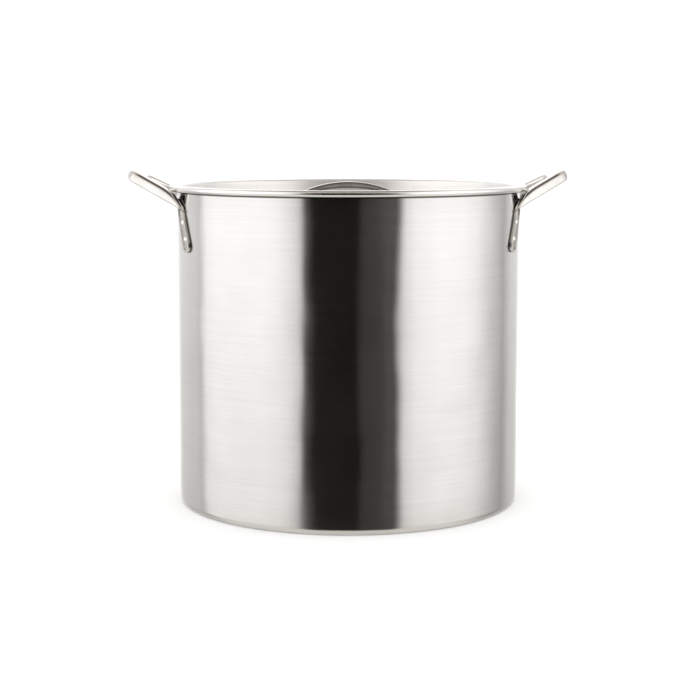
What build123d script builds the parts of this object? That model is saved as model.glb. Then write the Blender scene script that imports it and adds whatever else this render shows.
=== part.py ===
from build123d import *
import math
import os

os.makedirs("parts", exist_ok=True)

# Brew kettle of about twenty litres: a drawn stainless shell with a rolled rim, a recessed
# lift-off lid with a bridge handle, and two pressed loop handles riveted to the wall.
# Millimetres. Z is up, the base rests on Z = 0, the kettle's axis is the Z axis and the
# side handles lie along +X (right) and -X (left). The front faces -Y.

# ---- shell ----
kettle_diameter = 304.0
kettle_height = 281.2
wall_thickness = 0.8
base_corner_radius = 6.0
rim_roll_radius = 2.3

# ---- lid ----
lid_thickness = 0.8
lid_rim_clearance = 2.1
lid_roll_radius = 2.6
lid_recess_depth = 16.0
lid_recess_clearance = 2.0
lid_floor_corner = 6.0
lid_shoulder_radius = 2.5
lid_seat_gap = 0.3

# ---- lid handle ----
bridge_width = 22.0
bridge_thickness = 1.2
bridge_rise = 2.3
bridge_arch_radius = 97.5
bridge_return_radius = 15.7
bridge_foot_length = 17.0
bridge_edge_depth = 5.2
bridge_edge_end_depth = 1.6

# ---- side handles ----
handle_sheet = 1.3
handle_rise_angle = 27.5
handle_reach = 61.2
handle_half_width = 57.5
handle_taper = 28.0
handle_lid_drop = 1.95
channel_width = 15.0
channel_depth = 9.7
channel_edge_radius = 3.3
loop_corner_radius = 21.0
loop_inner_corner_radius = 8.0
grip_lip_radius = 6.2
web_bend_start = 29.0
web_bend_radius = 52.0

# ---- riveted legs of the side handles ----
leg_width = 13.5
leg_foot_offset = 63.6
leg_foot_drop = 48.2
leg_splay = 24.9
leg_length = 41.0
leg_edge_width = 1.9
leg_edge_height = 2.4

# ---- rivets ----
rivet_shank_radius = 2.0
rivet_head_radius = 3.6
rivet_head_height = 1.9
rivet_inner_head_radius = 3.4
rivet_inner_head_thickness = 0.8
rivet_first_step = 4.8
rivet_pitch = 15.4
bridge_rivet_spacing = 11.0
drill_length = 12.0

# ---- cutting shapes: how far they run past what they cut or meet ----
root_run = 14.0
skirt_run = 26.0
tool_margin = 2.0
tool_reach = 60.0
tool_span = 100.0

# ---- derived places ----
outer_radius = kettle_diameter / 2
inner_radius = outer_radius - wall_thickness
wall_middle = outer_radius - wall_thickness / 2
lid_top = kettle_height + lid_seat_gap + lid_thickness
lid_floor_top = lid_top - lid_recess_depth
lid_recess_radius = inner_radius - lid_recess_clearance
rim_reach = outer_radius + 2 * rim_roll_radius - wall_thickness
lid_reach = rim_reach + lid_rim_clearance + lid_thickness
handle_root = math.sqrt(outer_radius**2 - handle_half_width**2)
rise = math.radians(handle_rise_angle)
taper_run = math.tan(math.radians(handle_taper))
taper_scale = 1.0 / math.cos(math.radians(handle_taper))

# The loop starts low enough for the inner edge of its web to pass the lid's edge just
# below the top of the kettle: web_run is how far out along the loop that happens.
web_root = handle_root - channel_depth * math.sin(rise)
web_inner_half = handle_half_width - channel_width * taper_scale
run_square = math.cos(rise) ** 2 + taper_run**2
run_half = web_root * math.cos(rise) - web_inner_half * taper_run
run_rest = web_root**2 + web_inner_half**2 - lid_reach**2
web_run = (math.sqrt(run_half**2 - run_square * run_rest) - run_half) / run_square
web_climb = web_run * math.sin(rise) + channel_depth * math.cos(rise)
handle_origin = (handle_root, 0.0, kettle_height - web_climb - handle_lid_drop)
handle_out = (math.cos(rise), 0.0, math.sin(rise))
handle_up = (-math.sin(rise), 0.0, math.cos(rise))
loop_plane = Plane(origin=handle_origin, x_dir=handle_out, z_dir=handle_up)
side_plane = Plane(origin=handle_origin, x_dir=handle_out, z_dir=(0.0, -1.0, 0.0))

# Centre of the rounded lower end of a leg, and the two rivet centres above it.
leg_foot_height = kettle_height - leg_foot_drop
splay = math.radians(leg_splay)


def leg_point(distance):
    """Sideways offset and height of a point on the leg's middle line above its foot."""
    across = leg_foot_offset - distance * math.sin(splay)
    height = leg_foot_height + distance * math.cos(splay)
    return across, height


def rivet_azimuth(across):
    """Angle about the kettle's axis at which a leg point sits on the wall."""
    return math.degrees(math.asin(across / outer_radius))


# The four rivets of one handle as (azimuth from its own side, height), front pair first.
lower_across, lower_height = leg_point(rivet_first_step)
upper_across, upper_height = leg_point(rivet_first_step + rivet_pitch)
handle_rivets = {
    "front_upper": (-rivet_azimuth(upper_across), upper_height),
    "front_lower": (-rivet_azimuth(lower_across), lower_height),
    "back_upper": (rivet_azimuth(upper_across), upper_height),
    "back_lower": (rivet_azimuth(lower_across), lower_height),
}


def radial_plane(azimuth, height):
    """Plane whose X runs outward from the kettle's axis at a height and whose Y is up."""
    angle = math.radians(azimuth)
    outward = (math.cos(angle), math.sin(angle), 0.0)
    normal = (math.sin(angle), -math.cos(angle), 0.0)
    return Plane(origin=(0.0, 0.0, height), x_dir=outward, z_dir=normal)


def outward_plane(azimuth, height):
    """Plane on the wall whose Z points straight outward."""
    angle = math.radians(azimuth)
    outward = (math.cos(angle), math.sin(angle), 0.0)
    place = (outer_radius * outward[0], outer_radius * outward[1], height)
    return Plane(origin=place, x_dir=(0.0, 0.0, 1.0), z_dir=outward)


# ---- kettle body: flat base, rounded corner, straight wall and a rim rolled outward ----
rim_centre_radius = rim_roll_radius - wall_thickness / 2
rim_centre = (wall_middle + rim_centre_radius, kettle_height - rim_roll_radius)
with BuildPart() as kettle_body:
    with BuildSketch(Plane.XZ) as shell_section:
        with BuildLine() as shell_line:
            corner = base_corner_radius - wall_thickness / 2
            floor_level = wall_thickness / 2
            Line((0, floor_level), (wall_middle - corner, floor_level))
            CenterArc((wall_middle - corner, floor_level + corner), corner, -90, 90)
            Line((wall_middle, floor_level + corner), (wall_middle, rim_centre[1]))
            CenterArc(rim_centre, rim_centre_radius, 180, -280)
        trace(line_width=wall_thickness)
    revolve(axis=Axis.Z)
    for side_turn in (0.0, 180.0):
        for azimuth, height in handle_rivets.values():
            with Locations(outward_plane(azimuth + side_turn, height).location):
                Cylinder(rivet_shank_radius, drill_length, mode=Mode.SUBTRACT)

# ---- side outline of the lid handle: arch, a reverse curve at each end, flat feet ----
bridge_top = lid_top + bridge_rise
arch_middle_radius = bridge_arch_radius - bridge_thickness / 2
foot_level = lid_floor_top + bridge_thickness / 2
bridge_fall = bridge_top - bridge_thickness / 2 - foot_level
half_angle = math.acos(1 - bridge_fall / (arch_middle_radius + bridge_return_radius))
arch_centre_height = bridge_top - bridge_arch_radius
arch_end = (
    arch_middle_radius * math.sin(half_angle),
    arch_centre_height + arch_middle_radius * math.cos(half_angle),
)
foot_start = arch_end[0] + bridge_return_radius * math.sin(half_angle)
foot_end = foot_start + bridge_foot_length
bridge_rivets = {
    f"{x_name}_{y_name}": (
        x_side * (foot_start + bridge_foot_length / 2),
        y_side * bridge_rivet_spacing / 2,
    )
    for x_name, x_side in (("right", 1), ("left", -1))
    for y_name, y_side in (("front", -1), ("back", 1))
}

# ---- lid: flat recessed panel, short wall, shoulder and an edge rolled over the rim ----
lid_middle = lid_top - lid_thickness / 2
panel_middle = lid_floor_top - lid_thickness / 2
recess_middle = lid_recess_radius - lid_thickness / 2
roll_centre_radius = lid_roll_radius - lid_thickness / 2
roll_centre = (lid_reach - lid_roll_radius, lid_top - lid_roll_radius)
with BuildPart() as lid:
    with BuildSketch(Plane.XZ) as lid_section:
        with BuildLine() as lid_line:
            floor_turn = lid_floor_corner
            turn = lid_shoulder_radius
            Line((0, panel_middle), (recess_middle - floor_turn, panel_middle))
            CenterArc((recess_middle - floor_turn, panel_middle + floor_turn), floor_turn, -90, 90)
            Line((recess_middle, panel_middle + floor_turn), (recess_middle, lid_middle - turn))
            CenterArc((recess_middle + turn, lid_middle - turn), turn, 180, -90)
            Line((recess_middle + turn, lid_middle), (roll_centre[0], lid_middle))
            CenterArc(roll_centre, roll_centre_radius, 90, -150)
        trace(line_width=lid_thickness)
    revolve(axis=Axis.Z)
    for rivet_x, rivet_y in bridge_rivets.values():
        with Locations((rivet_x, rivet_y, lid_floor_top)):
            Cylinder(rivet_shank_radius, drill_length, mode=Mode.SUBTRACT)

# ---- lid handle: arched strap with turned-down long edges and a flat foot at each end ----
edge_end_level = arch_end[1] + bridge_thickness / 2 - bridge_edge_end_depth
with BuildPart() as lid_handle:
    with BuildSketch(Plane.XZ) as bridge_section:
        with BuildLine() as bridge_line:
            bend = math.degrees(half_angle)
            return_level = foot_level + bridge_return_radius
            Line((-foot_end, foot_level), (-foot_start, foot_level))
            CenterArc((-foot_start, return_level), bridge_return_radius, -90, bend)
            CenterArc((0, arch_centre_height), arch_middle_radius, 90 + bend, -2 * bend)
            CenterArc((foot_start, return_level), bridge_return_radius, -90 - bend, bend)
            Line((foot_start, foot_level), (foot_end, foot_level))
        trace(line_width=bridge_thickness)
    extrude(amount=bridge_width / 2, both=True)
    for edge_side in (-1, 1):
        edge_offset = edge_side * (bridge_width - bridge_thickness) / 2
        with BuildSketch(Plane.XZ.offset(edge_offset)) as turned_edge:
            with BuildLine():
                upper = ThreePointArc(
                    arch_end,
                    (0, arch_centre_height + arch_middle_radius),
                    (-arch_end[0], arch_end[1]),
                )
                lower = ThreePointArc(
                    (-arch_end[0], edge_end_level),
                    (0, bridge_top - bridge_edge_depth),
                    (arch_end[0], edge_end_level),
                )
                Line(upper @ 1, lower @ 0)
                Line(lower @ 1, upper @ 0)
            make_face()
        extrude(amount=bridge_thickness / 2, both=True)
    end_corners = lid_handle.edges().filter_by(Axis.Z)
    end_corners = end_corners.filter_by(lambda edge: abs(edge.center().X) > foot_start)
    fillet(end_corners, radius=bridge_width / 4)
    for rivet_x, rivet_y in bridge_rivets.values():
        with Locations((rivet_x, rivet_y, lid_floor_top)):
            Cylinder(rivet_shank_radius, drill_length, mode=Mode.SUBTRACT)


def loop_band(inset):
    """Loop outline seen square on, drawn in the current sketch, thinned by an inset."""
    start = -root_run
    outer_half = handle_half_width - inset * taper_scale
    outer_end = handle_reach - inset
    inner_half = handle_half_width - (channel_width - inset) * taper_scale
    inner_end = handle_reach - channel_width + inset
    rings = (
        (start, outer_half, outer_end, loop_corner_radius - inset, Mode.ADD),
        (
            start - tool_margin,
            inner_half,
            inner_end,
            loop_inner_corner_radius + inset,
            Mode.SUBTRACT,
        ),
    )
    for ring_start, half, end, corner_radius, mode in rings:
        with BuildLine() as ring:
            FilletPolyline(
                (ring_start, half - ring_start * taper_run),
                (end, half - end * taper_run),
                (end, -half + end * taper_run),
                (ring_start, -half + ring_start * taper_run),
                radius=corner_radius,
            )
            Line(
                (ring_start, -half + ring_start * taper_run),
                (ring_start, half - ring_start * taper_run),
            )
        make_face(ring.edges(), mode=mode)


def under_web(inset, floor, lip):
    """Side outline below the web's upper face, drawn in the current sketch."""
    top = channel_depth - inset
    bend = web_bend_radius - inset
    bend_centre_level = channel_depth - web_bend_radius
    bend_low = web_bend_start - 0.9 * web_bend_radius
    bend_middle = (web_bend_start + bend_low) / 2
    drop = bend_centre_level + math.sqrt(bend**2 - (web_bend_start - bend_low) ** 2)
    level = bend_centre_level + math.sqrt(bend**2 - (web_bend_start - bend_middle) ** 2)
    far = handle_reach + tool_reach
    near = -tool_reach
    with BuildLine() as outline:
        ThreePointArc((bend_low, drop), (bend_middle, level), (web_bend_start, top))
        Polyline((web_bend_start, top), (far, top), (far, lip))
        if lip > floor:
            lip_start = handle_reach - grip_lip_radius
            Line((far, lip), (handle_reach - inset, lip))
            CenterArc((lip_start, grip_lip_radius), grip_lip_radius - inset, 0, -90)
            Polyline((lip_start, inset), (lip_start, floor), (near, floor))
        else:
            Line((far, floor), (near, floor))
        Polyline((near, floor), (near, drop), (bend_low, drop))
    make_face(outline.edges())


def web_rim_edges(solid):
    """Edges along which the web turns down into its flanges."""
    chosen = []
    for face in solid.faces():
        normal = face.normal_at(face.center())
        if normal.dot(Vector(*handle_up)) < 0.7:
            continue
        for edge in face.edges():
            ends = [loop_plane.to_local_coords(edge.position_at(end)) for end in (0, 1)]
            straight_across = abs(ends[0].X - ends[1].X) < 0.01
            if straight_across and ends[0].X < web_bend_start + tool_margin:
                continue
            chosen.append(edge)
    return ShapeList(chosen)


# The hollow underside of the loop, cut out of it below.
with BuildPart() as channel_hollow:
    with BuildSketch(loop_plane.offset(-skirt_run)):
        loop_band(handle_sheet)
    extrude(amount=skirt_run + channel_depth)
    with BuildSketch(side_plane):
        under_web(handle_sheet, -skirt_run - tool_margin, grip_lip_radius)
    extrude(amount=tool_span, both=True, mode=Mode.INTERSECT)
    fillet(web_rim_edges(channel_hollow.part), radius=channel_edge_radius - handle_sheet)

# The legs of one handle: plates curved to the wall, then the raised border round them.
leg_middle = leg_point(leg_length / 2)
leg_layers = []
for layer_height, border in ((handle_sheet, 0.0), (leg_edge_height, leg_edge_width)):
    with BuildPart() as leg_layer:
        with BuildSketch(Plane.YZ.offset(outer_radius - tool_reach)):
            for leg_side in (-1, 1):
                tilt = 90 + leg_side * leg_splay
                with Locations((leg_side * leg_middle[0], leg_middle[1])):
                    SlotCenterToCenter(leg_length, leg_width, rotation=tilt)
                    if border > 0:
                        SlotCenterToCenter(
                            leg_length,
                            leg_width - 2 * border,
                            rotation=tilt,
                            mode=Mode.SUBTRACT,
                        )
        extrude(amount=2 * tool_reach)
        with BuildSketch():
            Circle(outer_radius + layer_height)
            Circle(outer_radius, mode=Mode.SUBTRACT)
        extrude(amount=kettle_height, mode=Mode.INTERSECT)
        with BuildSketch(side_plane):
            under_web(0.0, -tool_span, -tool_span)
        extrude(amount=tool_span, both=True, mode=Mode.INTERSECT)
    leg_layers.append(leg_layer.part)

# ---- side handle: one pressing, a hollow-backed loop and two legs lying on the wall ----
with BuildPart() as right_handle:
    with BuildSketch(loop_plane.offset(-skirt_run)):
        loop_band(0.0)
    extrude(amount=skirt_run + channel_depth)
    with BuildSketch(side_plane):
        under_web(0.0, -skirt_run - tool_margin, -skirt_run - tool_margin)
    extrude(amount=tool_span, both=True, mode=Mode.INTERSECT)
    fillet(web_rim_edges(right_handle.part), radius=channel_edge_radius)
    with BuildSketch(side_plane):
        with BuildLine():
            lip_start = handle_reach - grip_lip_radius
            CenterArc((lip_start, grip_lip_radius), grip_lip_radius, 0, -90)
            Polyline(
                (lip_start, 0),
                (-tool_reach, 0),
                (-tool_reach, -tool_reach),
                (handle_reach + tool_reach, -tool_reach),
                (handle_reach + tool_reach, grip_lip_radius),
                (handle_reach, grip_lip_radius),
            )
        make_face()
    extrude(amount=tool_span, both=True, mode=Mode.SUBTRACT)
    add(channel_hollow.part, mode=Mode.SUBTRACT)
    with BuildSketch():
        Circle(outer_radius)
    extrude(amount=2 * kettle_height, mode=Mode.SUBTRACT)
    for layer in leg_layers:
        add(layer)
    for azimuth, height in handle_rivets.values():
        with Locations(outward_plane(azimuth, height).location):
            Cylinder(rivet_shank_radius, drill_length, mode=Mode.SUBTRACT)

# The left handle is the same pressing turned half a turn about the kettle's axis.
with BuildPart() as left_handle:
    add(right_handle.part.rotate(Axis.Z, 180))


def set_rivet(plane, inner_seat, outer_seat):
    """A set rivet about the plane's X: flat head before one seat, dome beyond the other."""
    back = inner_seat - rivet_inner_head_thickness
    tip = outer_seat + rivet_head_height
    dome_radius = (rivet_head_radius**2 + rivet_head_height**2) / (2 * rivet_head_height)
    dome_angle = math.asin(rivet_head_radius / dome_radius) / 2
    dome_shoulder = (
        tip - dome_radius * (1 - math.cos(dome_angle)),
        dome_radius * math.sin(dome_angle),
    )
    with BuildPart() as rivet:
        with BuildSketch(plane) as half_section:
            with BuildLine() as outline:
                Polyline(
                    (tip, 0),
                    (back, 0),
                    (back, rivet_inner_head_radius),
                    (inner_seat, rivet_inner_head_radius),
                    (inner_seat, rivet_shank_radius),
                    (outer_seat, rivet_shank_radius),
                    (outer_seat, rivet_head_radius),
                )
                ThreePointArc((outer_seat, rivet_head_radius), dome_shoulder, (tip, 0))
            make_face()
        revolve(axis=Axis(plane.origin, plane.x_dir))
    return rivet.part


# ---- rivets of the side handles: domed head outside, thin flat head inside the wall ----
wall_seat = math.sqrt(inner_radius**2 - rivet_inner_head_radius**2)
leg_seat = outer_radius + handle_sheet
rivets = []
for handle_name, side_turn, mirrored in (("right", 0.0, 1), ("left", 180.0, -1)):
    for place_name, (azimuth, height) in handle_rivets.items():
        plane = radial_plane(side_turn + mirrored * azimuth, height)
        rivet = set_rivet(plane, wall_seat, leg_seat)
        rivet.label = f"{handle_name}_handle_{place_name}_rivet"
        rivets.append(rivet)

# ---- rivets of the lid handle ----
bridge_seat = lid_floor_top + bridge_thickness
panel_underside = lid_floor_top - lid_thickness
for place_name, (rivet_x, rivet_y) in bridge_rivets.items():
    upright = Plane(origin=(rivet_x, rivet_y, 0), x_dir=(0, 0, 1), z_dir=(0, 1, 0))
    rivet = set_rivet(upright, panel_underside, bridge_seat)
    rivet.label = f"lid_handle_{place_name}_rivet"
    rivets.append(rivet)

kettle_body.part.label = "kettle_body"
lid.part.label = "lid"
lid_handle.part.label = "lid_handle"
right_handle.part.label = "right_handle"
left_handle.part.label = "left_handle"
export_step(kettle_body.part, "parts/kettle_body.step")
export_step(lid.part, "parts/lid.step")
export_step(lid_handle.part, "parts/lid_handle.step")
export_step(right_handle.part, "parts/right_handle.step")
export_step(left_handle.part, "parts/left_handle.step")
for rivet_part in rivets:
    export_step(rivet_part, f"parts/{rivet_part.label}.step")
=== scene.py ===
import bmesh
import bpy
import math
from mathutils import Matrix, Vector


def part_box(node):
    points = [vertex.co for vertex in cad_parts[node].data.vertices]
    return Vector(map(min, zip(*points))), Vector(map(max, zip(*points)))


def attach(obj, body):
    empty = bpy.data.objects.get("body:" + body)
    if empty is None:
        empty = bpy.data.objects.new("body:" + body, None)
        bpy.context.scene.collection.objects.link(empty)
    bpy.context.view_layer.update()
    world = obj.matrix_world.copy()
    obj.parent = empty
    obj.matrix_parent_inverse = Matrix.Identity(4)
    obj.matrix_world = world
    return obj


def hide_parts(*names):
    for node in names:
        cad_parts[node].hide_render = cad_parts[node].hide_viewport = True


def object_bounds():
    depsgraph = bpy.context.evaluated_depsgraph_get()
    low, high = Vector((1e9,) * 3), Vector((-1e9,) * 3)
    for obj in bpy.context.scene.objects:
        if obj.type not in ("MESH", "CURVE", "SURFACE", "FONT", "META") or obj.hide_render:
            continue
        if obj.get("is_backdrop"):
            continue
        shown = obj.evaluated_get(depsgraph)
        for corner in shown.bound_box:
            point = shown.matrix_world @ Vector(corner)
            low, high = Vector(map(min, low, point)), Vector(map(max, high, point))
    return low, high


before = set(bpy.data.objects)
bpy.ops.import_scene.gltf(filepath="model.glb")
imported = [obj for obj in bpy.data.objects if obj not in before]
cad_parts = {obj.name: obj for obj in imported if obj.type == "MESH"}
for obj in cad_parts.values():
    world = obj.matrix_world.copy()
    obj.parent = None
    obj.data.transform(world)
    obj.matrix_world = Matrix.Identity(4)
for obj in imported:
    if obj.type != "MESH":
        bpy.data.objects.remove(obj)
bpy.context.view_layer.update()
scene = bpy.context.scene


# ---- Camera ----
# Stands a metre and a half in front of the kettle, a little above its lid and a touch
# to the left, and looks slightly down at it.
camera_turn = math.radians(-1.7)
camera_tilt = math.radians(7.79)
camera_distance = 1.4427
camera_height = 0.3308
camera_aside = 0.0017
camera_data = bpy.data.cameras.new("studio_camera")
camera_data.sensor_width = 36
camera_data.lens = 83.04
camera_data.clip_end = 50
camera = bpy.data.objects.new("studio_camera", camera_data)
camera.location = (
    camera_aside + camera_distance * math.sin(camera_turn),
    -camera_distance * math.cos(camera_turn),
    camera_height,
)
camera.rotation_euler = (math.pi / 2 - camera_tilt, 0, camera_turn)
scene.collection.objects.link(camera)
scene.camera = camera
scene.view_settings.view_transform = "Standard"


# ---- Kettle body ----
# The drawn stainless shell: flat base, small rounded corner, straight wall and a rim
# rolled outward into a hollow bead. It is thin sheet, brushed round the wall.
class Flow:
    """A node's output socket. Arithmetic on it adds the Math nodes that it needs."""

    def __init__(self, tree, socket=None):
        self.tree = tree
        self.socket = socket

    def node(self, kind, settings, inputs, output=0):
        made = self.tree.nodes.new(kind)
        for name, value in settings.items():
            if name == "stops":
                ramp = made.color_ramp
                while len(ramp.elements) < len(value):
                    ramp.elements.new(0.5)
                for element, (position, colour) in zip(ramp.elements, value):
                    element.position = position
                    element.color = (*colour, 1)
            else:
                setattr(made, name, value)
        for name, value in inputs.items():
            if isinstance(value, Flow):
                self.tree.links.new(value.socket, made.inputs[name])
            else:
                made.inputs[name].default_value = value
        if len(made.outputs) == 0:
            return None
        return Flow(self.tree, made.outputs[output])

    def math(self, operation, *values):
        return self.node("ShaderNodeMath", {"operation": operation}, dict(enumerate(values)))

    def __add__(self, other):
        return self.math("ADD", self, other)

    def __radd__(self, other):
        return self.math("ADD", other, self)

    def __sub__(self, other):
        return self.math("SUBTRACT", self, other)

    def __rsub__(self, other):
        return self.math("SUBTRACT", other, self)

    def __mul__(self, other):
        return self.math("MULTIPLY", self, other)

    def __rmul__(self, other):
        return self.math("MULTIPLY", other, self)

    def __truediv__(self, other):
        return self.math("DIVIDE", self, other)

    def __pow__(self, other):
        return self.math("POWER", self, other)

    def within(self, low, high):
        """0 below low, 1 above high, with a smooth step between."""
        settings = {"interpolation_type": "SMOOTHSTEP"}
        inputs = {"Value": self, "From Min": low, "From Max": high}
        return self.node("ShaderNodeMapRange", settings, inputs)


# Near-black colour of the band of painted shade under the kettle's rim.
painted_rim_shade = (0.03, 0.028, 0.025)


def brushed_steel(
    name, dark, light, inside, outside, border, dulling, anisotropy, ripple, painted_dark
):
    """Stainless sheet with brush lines round the axis, faint ripples and smears.

    inside and outside are its roughness within and beyond the border radius, dulling is
    how far the inside loses its shine, and the last argument is a (low, high) pair of
    heights between which a band of painted shade darkens the sheet's colour."""
    material = bpy.data.materials.new(name)
    material.use_nodes = True
    material.node_tree.nodes.clear()
    start = Flow(material.node_tree)
    place = start.node("ShaderNodeTexCoord", {}, {}, "Object")
    x = start.node("ShaderNodeSeparateXYZ", {}, {"Vector": place}, "X")
    y = start.node("ShaderNodeSeparateXYZ", {}, {"Vector": place}, "Y")
    z = start.node("ShaderNodeSeparateXYZ", {}, {"Vector": place}, "Z")
    radius = (x * x + y * y) ** 0.5
    along = radius + z
    beyond = radius.within(border - 0.0003, border)

    def noise(across, run, detail):
        stretched = {"X": x * across, "Y": y * across, "Z": along * run}
        spot = start.node("ShaderNodeCombineXYZ", {}, stretched)
        inputs = {"Vector": spot, "Scale": 1.0, "Detail": detail, "Roughness": 0.6}
        return start.node("ShaderNodeTexNoise", {}, inputs, 0)

    coarse_lines = noise(5, 420, 3)
    fine_lines = noise(14, 1900, 2)
    smears = noise(11, 17, 4)
    lines = coarse_lines * 0.3 + fine_lines * 0.7
    tone = lines.within(0.3, 0.7) * 0.6 + smears.within(0.3, 0.7) * 0.4
    colours = {"Factor": tone, 6: (*dark, 1), 7: (*light, 1)}
    colour = start.node("ShaderNodeMix", {"data_type": "RGBA"}, colours, 2)
    # Painted shade: the colour is darkened between two heights, the shadow band under the rim.
    low, high = painted_dark
    edge = 0.0004
    painted_band_shade = z.within(low - edge, low) * (1 - z.within(high, high + edge)) * 0.88
    colours = {"Factor": painted_band_shade, 6: colour, 7: (*painted_rim_shade, 1)}
    colour = start.node("ShaderNodeMix", {"data_type": "RGBA"}, colours, 2)
    rough = inside + beyond * (outside - inside)
    rough = rough + (fine_lines - 0.5) * 0.1 + (smears - 0.5) * 0.06
    waves = noise(22, 14, 1)
    rolled = start.node("ShaderNodeBump", {}, {"Distance": ripple, "Height": waves})
    scored = {"Strength": 0.2, "Distance": 0.00002, "Height": lines, "Normal": rolled}
    surface = {
        "Base Color": colour,
        "Metallic": 1 - (1 - beyond) * dulling,
        "Roughness": rough,
        "Anisotropic": anisotropy,
        "Anisotropic Rotation": 0.25,
        "Normal": start.node("ShaderNodeBump", {}, scored),
    }
    shader = start.node("ShaderNodeBsdfPrincipled", {}, surface)
    start.node("ShaderNodeOutputMaterial", {}, {"Surface": shader})
    return material


def arc(centre, radius, begin, sweep, steps):
    """Points along an arc of a section, angles in degrees from outward, anticlockwise."""
    points = []
    for step in range(steps + 1):
        angle = math.radians(begin + sweep * step / steps)
        points.append(
            (centre[0] + radius * math.cos(angle), centre[1] + radius * math.sin(angle))
        )
    return points


def sheet_section(line, thickness):
    """Closed outline of sheet metal that is centred on a line of (radius, height) points."""
    sides = ([], [])
    for index, (radius, height) in enumerate(line):
        before = line[max(index - 1, 0)]
        after = line[min(index + 1, len(line) - 1)]
        run = Vector((after[0] - before[0], after[1] - before[1])).normalized()
        for side, sign in zip(sides, (-1, 1)):
            across = sign * thickness / 2
            side.append((max(radius - run.y * across, 0.0), height + run.x * across))
    return sides[0] + sides[1][::-1]


def turning_tree():
    """Node group that turns a section round the upright axis into one closed skin."""
    tree = bpy.data.node_groups.new("turned_sheet", "GeometryNodeTree")
    face = tree.interface
    face.new_socket("Section", in_out="INPUT", socket_type="NodeSocketGeometry")
    face.new_socket("Steps Round", in_out="INPUT", socket_type="NodeSocketInt")
    face.new_socket("Turning Radius", in_out="INPUT", socket_type="NodeSocketFloat")
    face.new_socket("Finish", in_out="INPUT", socket_type="NodeSocketMaterial")
    face.new_socket("Skin", in_out="OUTPUT", socket_type="NodeSocketGeometry")
    given = tree.nodes.new("NodeGroupInput")
    start = Flow(tree)
    section, steps, radius, finish = [Flow(tree, socket) for socket in given.outputs[:4]]
    profile = start.node("GeometryNodeMeshToCurve", {}, {"Mesh": section})
    inputs = {"Resolution": steps, "Radius": radius}
    ring = start.node("GeometryNodeCurvePrimitiveCircle", {"mode": "RADIUS"}, inputs)
    inputs = {"Curve": ring, "Profile Curve": profile}
    skin = start.node("GeometryNodeCurveToMesh", {}, inputs)
    inputs = {"Geometry": skin, "Distance": 0.000001}
    skin = start.node("GeometryNodeMergeByDistance", {}, inputs)
    skin = start.node("GeometryNodeRealizeInstances", {}, {"Geometry": skin})
    inputs = {"Geometry": skin, "Material": finish}
    skin = start.node("GeometryNodeSetMaterial", {}, inputs)
    start.node("NodeGroupOutput", {}, {0: skin})
    return tree


def softened(skin, sharpest):
    """Outward normals, and smooth shading except over edges sharper than an angle."""
    bmesh.ops.recalc_face_normals(skin, faces=skin.faces)
    for face in skin.faces:
        face.smooth = True
    for edge in skin.edges:
        edge.smooth = edge.calc_face_angle(0) < math.radians(sharpest)


def placed(name, mesh):
    """The scene object that shows a finished mesh or holds a lamp."""
    piece = bpy.data.objects.new(name, mesh)
    scene.collection.objects.link(piece)
    return piece


def grown(name, start_mesh, tree, values):
    """Plain mesh object that a node group makes from a starting mesh and named values."""
    seed = placed(name + "_seed", start_mesh)
    modifier = seed.modifiers.new(name, "NODES")
    modifier.node_group = tree
    for socket in tree.interface.items_tree:
        if socket.name in values:
            modifier[socket.identifier] = values[socket.name]
    bpy.context.view_layer.update()
    evaluated = seed.evaluated_get(bpy.context.evaluated_depsgraph_get())
    mesh = bpy.data.meshes.new_from_object(evaluated)
    mesh.name = name
    seed.modifiers.remove(modifier)
    bpy.data.objects.remove(seed)
    skin = bmesh.new()
    skin.from_mesh(mesh)
    softened(skin, 40)
    skin.to_mesh(mesh)
    skin.free()
    return placed(name, mesh)


def turned(name, section, steps, material):
    """A piece turned from a closed outline of (radius, height) points."""
    reach = max(radius for radius, height in section)
    outline = bpy.data.meshes.new(name + "_section")
    points = [(radius - reach, -height, 0) for radius, height in section]
    edges = [(index, (index + 1) % len(points)) for index in range(len(points))]
    outline.from_pydata(points, edges, [])
    values = {"Steps Round": steps, "Turning Radius": reach, "Finish": material}
    return grown(name, outline, turned_sheet, values)


shell_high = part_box("kettle_body")[1]
steps_round = 288
shell_sheet = 0.0008
bead_radius = 0.0023
corner_radius = 0.006
rim_reach = shell_high.x
rim_height = shell_high.z
bead_middle = bead_radius - shell_sheet / 2
bead_centre = (rim_reach - bead_radius, rim_height - bead_radius)
wall_radius = bead_centre[0] - bead_middle
corner_middle = corner_radius - shell_sheet / 2
shell_line = [(0.0, shell_sheet / 2), (wall_radius * 0.5, shell_sheet / 2)]
shell_line += arc(
    (wall_radius - corner_middle, corner_radius), corner_middle, -90, 90, 10
)
shell_line += [(wall_radius, rim_height * share) for share in (0.1, 0.3, 0.5, 0.7, 0.9)]
shell_line += arc(bead_centre, bead_middle, 180, -280, 30)
turned_sheet = turning_tree()
# Heights of the band of painted shade under the rolled rim, where the lid's edge overhangs the
# wall.
rim_shade_band = (rim_height - 0.0052, rim_height - 0.004)
shell_steel = brushed_steel(
    "brushed_shell",
    dark=(0.69, 0.685, 0.675),
    light=(0.77, 0.765, 0.755),
    inside=0.3,
    outside=0.17,
    border=wall_radius,
    dulling=0.1,
    anisotropy=0.93,
    ripple=0.0008,
    painted_dark=rim_shade_band,
)
shell_section = sheet_section(shell_line, shell_sheet)
shell = turned("turned_shell", shell_section, steps_round, shell_steel)
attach(shell, "kettle")
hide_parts("kettle_body")


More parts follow.
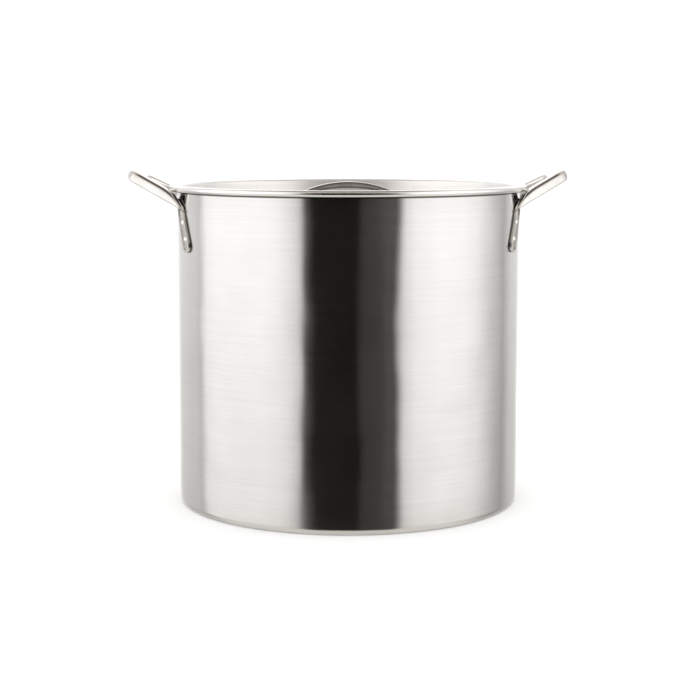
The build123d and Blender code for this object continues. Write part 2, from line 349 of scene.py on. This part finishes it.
# ---- Lid ----
# A recessed lid of the same sheet: a flat panel, a short wall, a rounded shoulder and an
# edge rolled down over the kettle's bead. It lifts straight off.
lid_low, lid_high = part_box("lid")
lid_sheet = 0.0008
lid_edge_radius = 0.0026
recess_clearance = 0.002
panel_turn = 0.006
shoulder_turn = 0.0025
panel_level = lid_low.z + lid_sheet / 2
shoulder_level = lid_high.z - lid_sheet / 2
edge_middle = lid_edge_radius - lid_sheet / 2
edge_centre = (lid_high.x - lid_edge_radius, lid_high.z - lid_edge_radius)
recess_radius = wall_radius - shell_sheet / 2 - recess_clearance - lid_sheet / 2
lid_line = [(0.0, panel_level), (recess_radius * 0.5, panel_level)]
lid_line += arc(
    (recess_radius - panel_turn, panel_level + panel_turn), panel_turn, -90, 90, 10
)
lid_line += arc(
    (recess_radius + shoulder_turn, shoulder_level - shoulder_turn), shoulder_turn, 180, -90, 8
)
lid_line += arc(edge_centre, edge_middle, 90, -150, 16)
nowhere = (-0.002, -0.001)
# Painted light: the lid's colours are set much lighter than the shell's, though it is the same
# sheet, to stand in for the light the lid catches.
lid_steel = brushed_steel(
    "brushed_lid",
    dark=(0.82, 0.81, 0.795),
    light=(0.98, 0.97, 0.955),
    inside=0.42,
    outside=0.26,
    border=recess_radius + shoulder_turn,
    dulling=0.14,
    anisotropy=0.5,
    ripple=0.0002,
    painted_dark=nowhere,
)
lid_section = sheet_section(lid_line, lid_sheet)
cover = turned("turned_lid", lid_section, steps_round, lid_steel)
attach(cover, "lift_off_lid")
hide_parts("lid")


# ---- Side handles ----
# Two pressings, each a hollow-backed loop that runs down into two legs on the wall. The
# sheet is polished bright, with fine scuffs from use.
# Near-black colour mixed in for painted shade on the handles and the strap, and for the
# handles' grey cut edges.
shade_and_edge_grey = (0.035, 0.03, 0.027)


def polished_steel(name, dark, light, roughness, shaping=None):
    """Bright pressed stainless with soft mottling and short scuffs.

    shaping takes x, y, z and gives (dark share, extra height, extra roughness); the dark
    share paints shade, and the handles' grey cut edges, into the colour."""
    material = bpy.data.materials.new(name)
    material.use_nodes = True
    material.node_tree.nodes.clear()
    start = Flow(material.node_tree)
    place = start.node("ShaderNodeTexCoord", {}, {}, "Object")
    inputs = {"Vector": place, "Scale": 90.0, "Detail": 4.0, "Roughness": 0.6}
    mottle = start.node("ShaderNodeTexNoise", {}, inputs, 0)
    inputs = {"Vector": place, "Scale": 900.0, "Detail": 2.0, "Distortion": 1.5}
    grain = start.node("ShaderNodeTexNoise", {}, inputs, 0)
    tone = mottle.within(0.3, 0.7) * 0.7 + grain.within(0.3, 0.7) * 0.3
    colours = {"Factor": tone, 6: (*dark, 1), 7: (*light, 1)}
    colour = start.node("ShaderNodeMix", {"data_type": "RGBA"}, colours, 2)
    height = mottle * 0.00008
    if shaping:
        apart = "ShaderNodeSeparateXYZ"
        parts = [start.node(apart, {}, {"Vector": place}, axis) for axis in "XYZ"]
        # Mixes the near-black colour into the base colour: painted shade, and grey cut edges
        # on the handles.
        painted_dark, extra, worn = shaping(*parts)
        colours = {"Factor": painted_dark, 6: colour, 7: (*shade_and_edge_grey, 1)}
        colour = start.node("ShaderNodeMix", {"data_type": "RGBA"}, colours, 2)
        height = height + extra
        roughness = worn + roughness
    soft = start.node("ShaderNodeBump", {}, {"Distance": 1.0, "Height": height})
    scuffed = {"Strength": 0.25, "Distance": 0.00001, "Height": grain, "Normal": soft}
    surface = {
        "Base Color": colour,
        "Metallic": 1.0,
        "Roughness": roughness + (mottle - 0.5) * 0.08 + (grain - 0.5) * 0.06,
        "Normal": start.node("ShaderNodeBump", {}, scuffed),
    }
    shader = start.node("ShaderNodeBsdfPrincipled", {}, surface)
    start.node("ShaderNodeOutputMaterial", {}, {"Surface": shader})
    return material


merge_reach = 0.000002


def finished_copy(node, name, material):
    """A piece with a CAD node's own shape, its loose triangles merged and shaded smooth."""
    skin = bmesh.new()
    skin.from_mesh(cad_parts[node].data)
    bmesh.ops.remove_doubles(skin, verts=skin.verts, dist=merge_reach)
    bmesh.ops.dissolve_degenerate(skin, edges=skin.edges, dist=merge_reach)
    softened(skin, 30)
    mesh = bpy.data.meshes.new(name)
    skin.to_mesh(mesh)
    skin.free()
    mesh.materials.append(material)
    return placed(name, mesh)


handle_low, handle_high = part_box("right_handle")
loop_rise = math.radians(27.5)
loop_depth = 0.0097
loop_corner = 0.0079
loop_top = (handle_high.x, handle_high.z)
leg_top = handle_low.z + 0.03
crown_start = 0.0013
crown_swell = 1400.0
cut_level = 0.0004


def pressed_shape(x, y, z):
    """Crowned edges, a grey cut edge, duller legs and painted shade where they meet the wall.
    """
    out = x.math("ABSOLUTE", x) - loop_top[0]
    level = (z - loop_top[1]) * math.cos(loop_rise) - out * math.sin(loop_rise)
    from_edge = level + loop_corner
    above = x.math("MAXIMUM", from_edge - crown_start, 0.0)
    above = x.math("MINIMUM", above, loop_depth)
    crown = above * above * above * -crown_swell
    off_wall = (x * x + y * y) ** 0.5 - (wall_radius + shell_sheet / 2)
    # Painted shade along the wall where the legs and flanges meet it.
    wall_shade = 1 - off_wall.within(0.0006, 0.0015)
    cut_edge = 1 - x.math("ABSOLUTE", from_edge - cut_level).within(0.0005, 0.0011)
    worn = 1 - z.within(leg_top - 0.004, leg_top + 0.004)
    return wall_shade * 0.85 + (1 - wall_shade) * cut_edge * 0.45, crown, worn * 0.2


handle_steel = polished_steel(
    "polished_handle",
    dark=(0.62, 0.605, 0.58),
    light=(0.78, 0.765, 0.74),
    roughness=0.15,
    shaping=pressed_shape,
)
for side in ("left", "right"):
    handle = finished_copy(f"{side}_handle", f"{side}_pressed_handle", handle_steel)
    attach(handle, "kettle")
    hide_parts(f"{side}_handle")


# ---- Lid handle ----
# An arched strap with turned-down edges, deepest at the crown, whose flat feet are
# riveted to the sunken panel. It is a little duller and browner than the rest.
strap_low, strap_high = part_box("lid_handle")
strap_sheet = 0.0012
strap_arch = 0.0975
strap_return = 0.0157
strap_foot = 0.017
strap_half = strap_high.y
crown_depth = 0.0052
arch_end_depth = 0.0016
fold_radius = 0.0022
foot_corner = strap_half / 2
strap_centre = strap_high.z - strap_arch
strap_middle = strap_arch - strap_sheet / 2
strap_fall = strap_high.z - strap_low.z - strap_sheet
strap_bend = math.acos(1 - strap_fall / (strap_middle + strap_return))
arch_end = strap_middle * math.sin(strap_bend)


def strap_stations():
    """(x, height, lean from upright, depth of the turned edge, half width) from the crown."""
    foot_start = arch_end + strap_return * math.sin(strap_bend)
    level = strap_low.z + strap_sheet / 2
    stations = []
    for step in range(33):
        lean = strap_bend * step / 32
        x = strap_middle * math.sin(lean)
        height = strap_centre + strap_middle * math.cos(lean)
        depth = crown_depth + (arch_end_depth - crown_depth) * (x / arch_end) ** 2
        stations.append((x, height, lean, depth, strap_half))
    for step in range(1, 13):
        lean = strap_bend * (1 - step / 12)
        x = foot_start - strap_return * math.sin(lean)
        height = level + strap_return * (1 - math.cos(lean))
        depth = arch_end_depth + (strap_sheet - arch_end_depth) * step / 12
        stations.append((x, height, lean, depth, strap_half))
    straight = strap_foot - foot_corner
    for step in range(1, 5):
        stations.append((foot_start + straight * step / 4, level, 0, strap_sheet, strap_half))
    for step in range(1, 9):
        turn = math.radians(90 * step / 8)
        x = strap_high.x - foot_corner * (1 - math.sin(turn))
        half = strap_half - foot_corner * (1 - math.cos(turn))
        stations.append((x, level, 0, strap_sheet, half))
    return stations


def strap_outline(half, depth):
    """Section of the strap as (sideways, depth below its top) points, right half first."""
    fold = min(fold_radius, max(0.0004, depth - 0.9 * strap_sheet))
    inside = max(fold - strap_sheet, 0.0001)
    right = [(half - fold, 0.0)]
    for step in range(1, 7):
        turn = math.radians(90 * step / 6)
        right.append((half - fold + fold * math.sin(turn), fold - fold * math.cos(turn)))
    right += [
        (half, max(depth - 0.0003, fold)),
        (half - 0.0003, depth),
        (half - strap_sheet, depth),
        (half - strap_sheet, min(strap_sheet + inside, depth)),
        (half - strap_sheet - inside, strap_sheet),
    ]
    left = [(-across, below) for across, below in reversed(right)]
    return [(0.0, 0.0)] + right + [(0.0, strap_sheet)] + left


def strap_shape(x, y, z):
    """Brownish painted shade along the top of the outer folds and the turned edges' rims of
    the strap.
    """
    lift = z - strap_centre
    below = strap_arch - (x * x + lift * lift) ** 0.5
    sideways = x.math("ABSOLUTE", y)
    fold = sideways.within(strap_half - 0.0036, strap_half - 0.0022)
    rim = crown_depth + x * x * ((arch_end_depth - crown_depth) / arch_end**2)
    rim_share = (below - rim).within(-0.0019, -0.0011)
    top_share = 1 - below.within(0.0009, 0.0018)
    # Painted shade: dark lines along the strap's top folds and under its turned edges.
    return fold * (top_share + rim_share * 0.85) * 0.8, 0.0, 0.0


bridge_steel = polished_steel(
    "polished_bridge",
    dark=(0.56, 0.52, 0.48),
    light=(0.74, 0.7, 0.66),
    roughness=0.36,
    shaping=strap_shape,
)
half_run = strap_stations()
whole_run = [(-x, z, -lean, depth, half) for x, z, lean, depth, half in half_run[:0:-1]]
skin = bmesh.new()
rings = []
for x, z, lean, depth, half in whole_run + half_run:
    ring = []
    for across, below in strap_outline(half, depth):
        lift = strap_sheet / 2 - below
        place = (x + lift * math.sin(lean), across, z + lift * math.cos(lean))
        ring.append(skin.verts.new(place))
    rings.append(ring)
for near, far in zip(rings, rings[1:]):
    for index in range(len(near)):
        after = (index + 1) % len(near)
        skin.faces.new((near[index], near[after], far[after], far[index]))
skin.faces.new(rings[0])
skin.faces.new(rings[-1][::-1])
bmesh.ops.remove_doubles(skin, verts=skin.verts, dist=merge_reach)
softened(skin, 40)
strap_mesh = bpy.data.meshes.new("arched_strap")
skin.to_mesh(strap_mesh)
skin.free()
strap_mesh.materials.append(bridge_steel)
strap = placed("arched_strap", strap_mesh)
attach(strap, "lift_off_lid")
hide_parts("lid_handle")


# ---- Rivets ----
# Round-head rivets: a domed head outside, a shank through the sheets and a thin flat
# head inside. Two hold each leg and two hold each foot of the lid's handle.
def rivet_tree():
    """Node group that sets a rivet on every seat, turned to its outward direction."""
    tree = bpy.data.node_groups.new("set_rivets", "GeometryNodeTree")
    face = tree.interface
    face.new_socket("Seats", in_out="INPUT", socket_type="NodeSocketGeometry")
    face.new_socket("Rivet", in_out="INPUT", socket_type="NodeSocketObject")
    face.new_socket("Size Spread", in_out="INPUT", socket_type="NodeSocketFloat")
    face.new_socket("Finish", in_out="INPUT", socket_type="NodeSocketMaterial")
    face.new_socket("Rivets", in_out="OUTPUT", socket_type="NodeSocketGeometry")
    given = tree.nodes.new("NodeGroupInput")
    start = Flow(tree)
    seats, rivet, spread, finish = [Flow(tree, socket) for socket in given.outputs[:4]]
    points = start.node("GeometryNodeMeshToPoints", {}, {"Mesh": seats})
    shape = start.node("GeometryNodeObjectInfo", {}, {"Object": rivet}, "Geometry")
    named = {"data_type": "FLOAT_VECTOR"}
    outward = start.node("GeometryNodeInputNamedAttribute", named, {"Name": "outward"})
    aim = start.node("FunctionNodeAlignRotationToVector", {"axis": "Z"}, {"Vector": outward})
    limits = {2: 1.0 - spread, 3: 1.0, "Seed": 4}
    size = start.node("FunctionNodeRandomValue", {"data_type": "FLOAT"}, limits, 1)
    inputs = {"Points": points, "Instance": shape, "Rotation": aim, "Scale": size}
    heads = start.node("GeometryNodeInstanceOnPoints", {}, inputs)
    heads = start.node("GeometryNodeRealizeInstances", {}, {"Geometry": heads})
    inputs = {"Geometry": heads, "Material": finish}
    heads = start.node("GeometryNodeSetMaterial", {}, inputs)
    start.node("NodeGroupOutput", {}, {0: heads})
    return tree


set_rivets = rivet_tree()
rivet_steel = polished_steel(
    "rivet", dark=(0.66, 0.65, 0.63), light=(0.84, 0.83, 0.81), roughness=0.18
)
head_radius = 0.0036
head_rise = 0.0019
shank_radius = 0.002
flat_radius = 0.0034
flat_depth = 0.0008
flat_turn = 0.0002
dome_radius = (head_radius**2 + head_rise**2) / (2 * head_rise)
dome_angle = math.degrees(math.asin(head_radius / dome_radius))
every_rivet = [node for node in sorted(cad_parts) if node.endswith("_rivet")]
for body, starts in (
    ("kettle", ("left_handle_", "right_handle_")),
    ("lift_off_lid", ("lid_handle_",)),
):
    nodes = [node for node in every_rivet if node.startswith(starts)]
    seats = bpy.data.meshes.new(body + "_rivet_seats")
    places, directions = [], []
    for node in nodes:
        low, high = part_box(node)
        middle = (low + high) / 2
        if body == "kettle":
            direction = Vector((middle.x, middle.y, 0)).normalized()
            along = [
                Vector((v.co.x, v.co.y, 0)).dot(direction)
                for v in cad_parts[node].data.vertices
            ]
            tip, back = max(along), min(along)
            foot = Vector((0, 0, middle.z))
        else:
            direction = Vector((0, 0, 1))
            tip, back = high.z, low.z
            foot = Vector((middle.x, middle.y, 0))
        places.append(foot + direction * (tip - head_rise))
        directions.append(direction)
    inner_end = head_rise - (tip - back)
    rivet_section = [(0.0, inner_end), (flat_radius * 0.9, inner_end)]
    rivet_section += arc(
        (flat_radius - flat_turn, inner_end + flat_turn), flat_turn, -90, 90, 3
    )
    rivet_section += [
        (flat_radius, inner_end + flat_depth),
        (shank_radius, inner_end + flat_depth),
        (shank_radius, 0.0),
    ]
    rivet_section += arc(
        (0.0, head_rise - dome_radius), dome_radius, 90 - dome_angle, dome_angle, 9
    )
    rivet_section[-1] = (0.0, head_rise)
    pattern = turned(body + "_rivet_pattern", rivet_section, 32, rivet_steel)
    seats.from_pydata(places, [], [])
    outward = seats.attributes.new("outward", "FLOAT_VECTOR", "POINT")
    for index, direction in enumerate(directions):
        outward.data[index].vector = direction
    values = {"Rivet": pattern, "Size Spread": 0.04, "Finish": rivet_steel}
    rivets = grown(body + "_rivets", seats, set_rivets, values)
    bpy.data.objects.remove(pattern)
    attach(rivets, body)
    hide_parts(*nodes)


# ---- Floor and studio light ----
# A plain pale floor. The room is white screens to the left and right of a dark opening
# in front, a dim ceiling and a pale ground, and one soft lamp hangs overhead.
floor_mesh = bpy.data.meshes.new("floor")
floor_mesh.from_pydata(
    [(-6, -6, 0), (6, -6, 0), (6, 9, 0), (-6, 9, 0)], [], [(0, 1, 2, 3)]
)
floor = placed("floor", floor_mesh)
floor_paint = bpy.data.materials.new("pale_floor")
floor_paint.use_nodes = True
floor_paint.node_tree.nodes.clear()
start = Flow(floor_paint.node_tree)
place = start.node("ShaderNodeTexCoord", {}, {}, "Object")
cloud = start.node("ShaderNodeTexNoise", {}, {"Vector": place, "Scale": 3.0}, 0)
colours = {"Factor": cloud, 6: (0.93, 0.93, 0.925, 1), 7: (0.96, 0.96, 0.955, 1)}
paint = start.node("ShaderNodeMix", {"data_type": "RGBA"}, colours, 2)
matt = start.node("ShaderNodeBsdfDiffuse", {}, {"Color": paint})
start.node("ShaderNodeOutputMaterial", {}, {"Surface": matt})
floor_mesh.materials.append(floor_paint)
floor.visible_glossy = False
floor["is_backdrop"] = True

lamp_data = bpy.data.lights.new("overhead_lamp", "AREA")
lamp_data.shape = "SQUARE"
lamp_data.size = 2.4
lamp_data.energy = 12
lamp = placed("overhead_lamp", lamp_data)
lamp.location = (0, -0.2, 2.0)
lamp.visible_glossy = False

world = bpy.data.worlds.new("studio")
world.use_nodes = True
world.node_tree.nodes.clear()
scene.world = world
start = Flow(world.node_tree)
way = start.node("ShaderNodeTexCoord", {}, {}, "Generated")
x = start.node("ShaderNodeSeparateXYZ", {}, {"Vector": way}, "X")
y = start.node("ShaderNodeSeparateXYZ", {}, {"Vector": way}, "Y")
z = start.node("ShaderNodeSeparateXYZ", {}, {"Vector": way}, "Z")
bearing = start.math("ARCTAN2", x, y * -1) / (2 * math.pi) + 0.5
screens = [
    (-180, 1.0),
    (-170, 0.95),
    (-154, 0.64),
    (-124, 0.61),
    (-117, 0.54),
    (-110, 0.92),
    (-98, 0.99),
    (-60, 1.0),
    (-49, 0.95),
    (-42, 0.86),
    (-36, 0.7),
    (-33, 0.56),
    (-30.5, 0.07),
    (-24, 0.008),
    (4, 0.004),
    (8, 0.035),
    (19, 0.048),
    (25, 0.075),
    (28.5, 0.045),
    (30.5, 0.14),
    (33, 0.47),
    (35.5, 0.75),
    (44, 0.92),
    (60, 1.0),
    (80, 0.97),
    (94, 0.86),
    (110, 0.58),
    (124, 0.38),
    (136, 0.6),
    (154, 0.62),
    (170, 0.95),
    (180, 1.0),
]
stops = []
for angle, level in screens:
    warmth = 0.004 / (level + 0.03)
    stops.append((angle / 360 + 0.5, (level, level * (1 - warmth), level * (1 - 2 * warmth))))
round_room = start.node("ShaderNodeValToRGB", {"stops": stops}, {"Fac": bearing})
heights = [
    (-90, (0.56, 0.54, 0.5)),
    (-35, (0.56, 0.54, 0.51)),
    (-22, (0.58, 0.565, 0.545)),
    (-13, (0.72, 0.715, 0.7)),
    (0, (1.0, 1.0, 1.0)),
    (28, (1.0, 1.0, 1.0)),
    (44, (0.62, 0.58, 0.54)),
    (60, (0.4, 0.36, 0.32)),
    (72, (0.06, 0.055, 0.05)),
    (90, (0.04, 0.038, 0.035)),
]
slope = start.math("ARCSINE", z) / math.pi + 0.5
stops = [(angle / 180 + 0.5, colour) for angle, colour in heights]
up_room = start.node("ShaderNodeValToRGB", {"stops": stops}, {"Fac": slope})
steep = (math.sin(math.radians(34)), math.sin(math.radians(50)))
overhead = z.within(*steep)
below = (z * -1).within(*steep)
flat = start.math("MAXIMUM", overhead, below)
inputs = {"Factor": flat, 6: round_room, 7: (1, 1, 1, 1)}
walls = start.node("ShaderNodeMix", {"data_type": "RGBA"}, inputs, 2)
inputs = {"Factor": 1.0, 6: walls, 7: up_room}
settings = {"data_type": "RGBA", "blend_type": "MULTIPLY"}
room = start.node("ShaderNodeMix", settings, inputs, 2)
screen_strength = 1.5
backdrop_strength = 1.25
inputs = {"Color": room, "Strength": screen_strength}
glow = start.node("ShaderNodeBackground", {}, inputs)
inputs = {"Color": (1, 1, 1, 1), "Strength": backdrop_strength}
white = start.node("ShaderNodeBackground", {}, inputs)
seen = start.node("ShaderNodeLightPath", {}, {}, "Is Camera Ray")
spread = start.node("ShaderNodeLightPath", {}, {}, "Is Diffuse Ray")
mixed = start.node("ShaderNodeMixShader", {}, {0: seen + spread, 1: glow, 2: white})
start.node("ShaderNodeOutputWorld", {}, {"Surface": mixed})


bpy.context.view_layer.update()
low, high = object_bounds()
